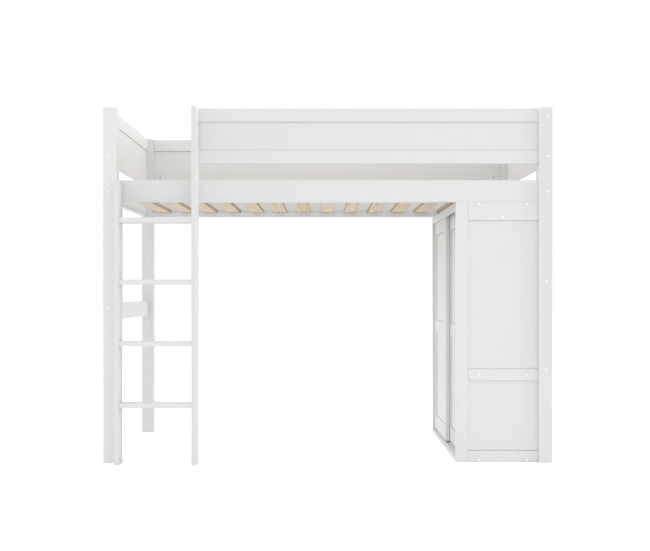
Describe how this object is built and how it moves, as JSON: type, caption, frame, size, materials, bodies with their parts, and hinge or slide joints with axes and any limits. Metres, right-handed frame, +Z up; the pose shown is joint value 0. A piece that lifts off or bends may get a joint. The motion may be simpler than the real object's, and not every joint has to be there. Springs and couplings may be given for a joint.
{
  "type": "loft bed with wardrobe",
  "caption": "Raised bed on square posts with panelled guards all round, a slatted base, a ladder at one end and a wardrobe with sliding doors under the other.",
  "frame": {"origin": "on the floor, midway along the bed and midway between the front edges of the ladder and the backs of the rear posts", "axes": "+X along the bed towards the wardrobe, +Y from the ladder side to the wall side, +Z up"},
  "size_m": [2.07, 1.103, 1.638],
  "materials": {
    "white_lacquer": "satin white lacquer on solid wood, grain barely showing",
    "natural_pine": "bare planed pine"
  },
  "bodies": {
    "root": {"post_front_left": "white_lacquer", "post_front_right": "white_lacquer", "post_rear_left": "white_lacquer", "post_rear_right": "white_lacquer", "bed_rail_front": "white_lacquer", "bed_rail_rear": "white_lacquer", "bed_rail_left": "white_lacquer", "bed_rail_right": "white_lacquer", "slat_ledger_front": "white_lacquer", "slat_ledger_rear": "white_lacquer", "slat_01": "natural_pine", "slat_02": "natural_pine", "slat_03": "natural_pine", "slat_04": "natural_pine", "slat_05": "natural_pine", "slat_06": "natural_pine", "slat_07": "natural_pine", "slat_08": "natural_pine", "slat_09": "natural_pine", "slat_10": "natural_pine", "slat_11": "natural_pine", "slat_12": "natural_pine", "slat_13": "natural_pine", "slat_14": "natural_pine", "slat_15": "natural_pine", "guard_front_bottom_rail": "white_lacquer", "guard_front_panel": "white_lacquer", "guard_front_top_rail": "white_lacquer", "guard_rear_bottom_rail": "white_lacquer", "guard_rear_panel": "white_lacquer", "guard_rear_top_rail": "white_lacquer", "guard_left_bottom_rail": "white_lacquer", "guard_left_panel": "white_lacquer", "guard_left_top_rail": "white_lacquer", "guard_right_bottom_rail": "white_lacquer", "guard_right_panel": "white_lacquer", "guard_right_top_rail": "white_lacquer", "ladder_stile_left": "white_lacquer", "ladder_stile_right": "white_lacquer", "ladder_tread_1": "white_lacquer", "ladder_tread_2": "white_lacquer", "ladder_tread_3": "white_lacquer", "ladder_tread_4": "white_lacquer", "cross_rail_left": "white_lacquer", "wardrobe_front_frame": "white_lacquer", "wardrobe_front_panel": "white_lacquer", "wardrobe_rear_frame": "white_lacquer", "wardrobe_rear_panel": "white_lacquer", "wardrobe_bottom_board": "white_lacquer", "wardrobe_top_board": "white_lacquer", "wardrobe_shelf": "white_lacquer", "wardrobe_back_panel": "white_lacquer", "wardrobe_back_rail_lower": "white_lacquer", "wardrobe_back_rail_upper": "white_lacquer", "wardrobe_pelmet": "white_lacquer", "clothes_rail": "natural_pine"},
    "door_outer": {"door_outer_frame": "white_lacquer", "door_outer_panel": "white_lacquer"},
    "door_inner": {"door_inner_frame": "white_lacquer", "door_inner_panel": "white_lacquer"}
  },
  "joints": [
    {"name": "door_outer_slide", "type": "slide", "parent": "root", "child": "door_outer", "axis": [0, -1, 0], "range_m": [0, 0.456]},
    {"name": "door_inner_slide", "type": "slide", "parent": "root", "child": "door_inner", "axis": [0, 1, 0], "range_m": [0, 0.456]}
  ]
}
